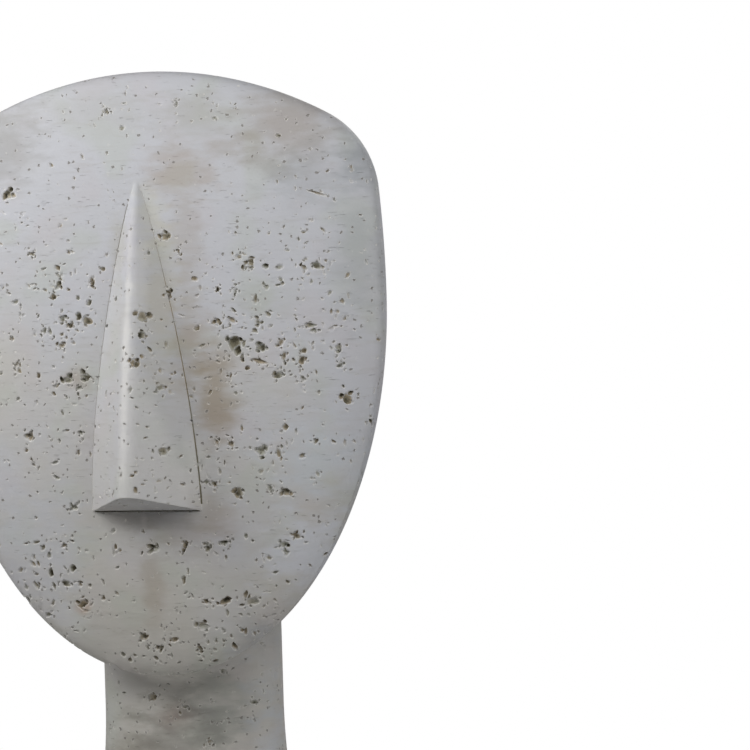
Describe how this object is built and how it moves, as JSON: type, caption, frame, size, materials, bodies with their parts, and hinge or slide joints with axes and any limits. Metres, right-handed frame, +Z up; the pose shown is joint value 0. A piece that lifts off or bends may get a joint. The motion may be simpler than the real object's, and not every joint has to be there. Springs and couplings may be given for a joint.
{
  "type": "face sculpture",
  "caption": "Standing head of cast resin with a pitted travertine look: a broad blank face with a long wedge nose, on a neck that spreads to a flat foot.",
  "frame": {"origin": "middle of the flat underside of the foot", "axes": "+Z up along the neck to the crown, -Y the way that the face looks, +X to the viewer's right"},
  "size_m": [0.2144, 0.1114, 0.368],
  "materials": {
    "travertine_resin": "matte cast resin filled and coloured like pale grey travertine, with open pits and soft brown stains"
  },
  "bodies": {
    "root": {"face_sculpture": "travertine_resin"}
  },
  "joints": []
}
